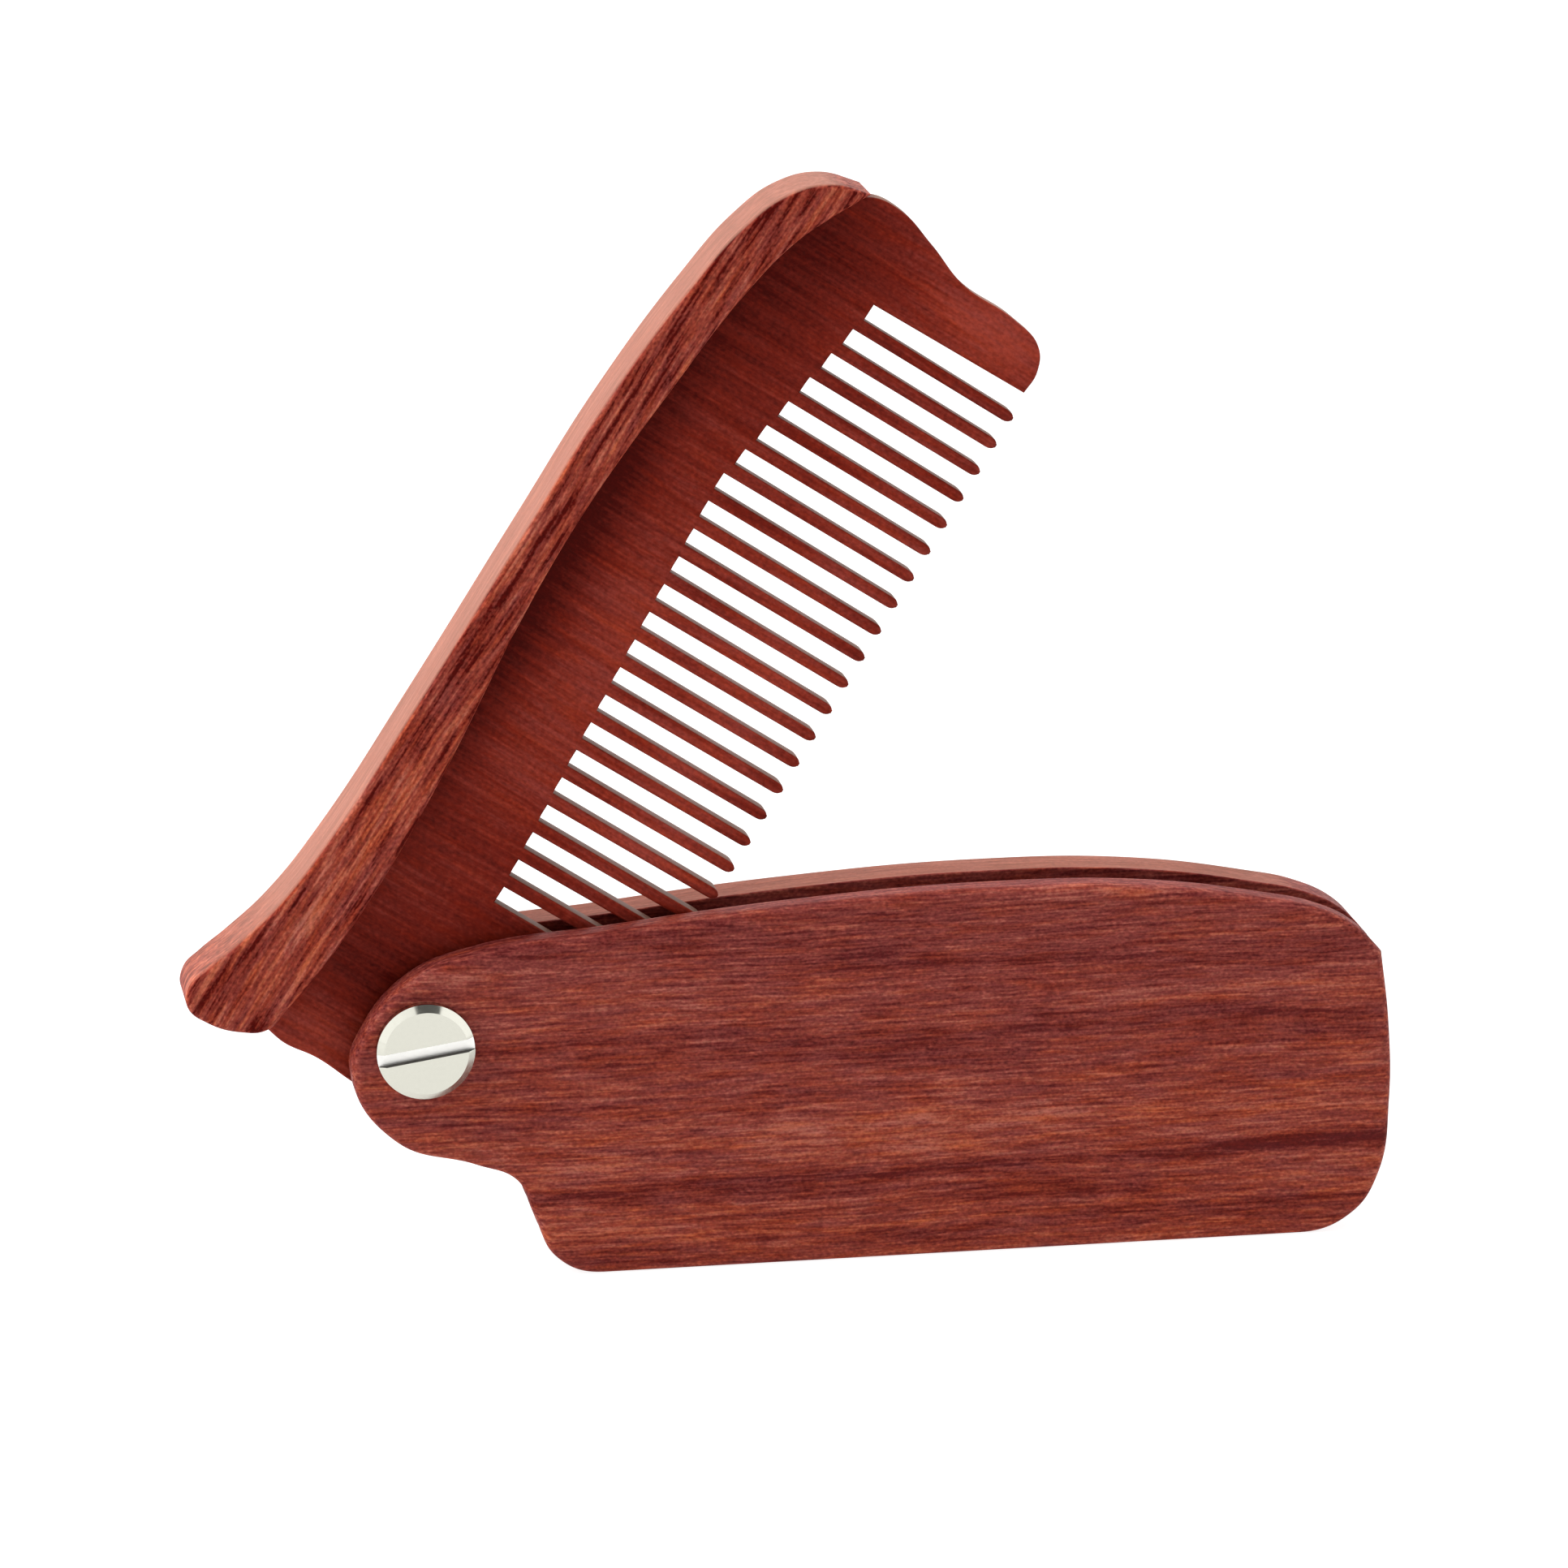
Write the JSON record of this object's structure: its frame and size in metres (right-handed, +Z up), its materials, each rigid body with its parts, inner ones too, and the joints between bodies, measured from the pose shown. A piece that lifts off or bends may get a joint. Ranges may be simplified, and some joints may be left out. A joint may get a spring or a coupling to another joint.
{
  "type": "folding comb",
  "caption": "Wooden folding comb: a toothed blade with a horned spine swings about a slotted screw out of a rounded two-scale sheath.",
  "frame": {"origin": "middle of the flat bottom edge of the sheath, half-way along the flat stretch and in the middle of the slot", "axes": "+X along the sheath from the pivot end to the square end, +Y through the thickness from the screw's side to the back, +Z up from the flat bottom edge"},
  "size_m": [0.1247, 0.0145, 0.1122],
  "materials": {
    "sheath_wood": "mid reddish-brown hardwood with dark streaks along the length, satin oil finish",
    "spine_wood": "reddish-brown hardwood, grain along the spine, satin oil finish",
    "blade_wood": "deep red-brown hardwood, fine grain along the teeth, smooth satin",
    "nickel_plate": "nickel-plated steel, softly polished"
  },
  "bodies": {
    "sheath": {"front_scale": "sheath_wood", "back_scale": "sheath_wood", "spacer": "sheath_wood", "pivot_screw": "nickel_plate", "pivot_post": "nickel_plate"},
    "comb": {"tooth_blade": "blade_wood", "spine": "spine_wood"}
  },
  "joints": [
    {"name": "comb_fold", "type": "hinge", "parent": "sheath", "child": "comb", "pos_m": [-0.055, 0, 0.0251], "axis": [0, -1, 0], "range_deg": [-57, 126.5]}
  ]
}
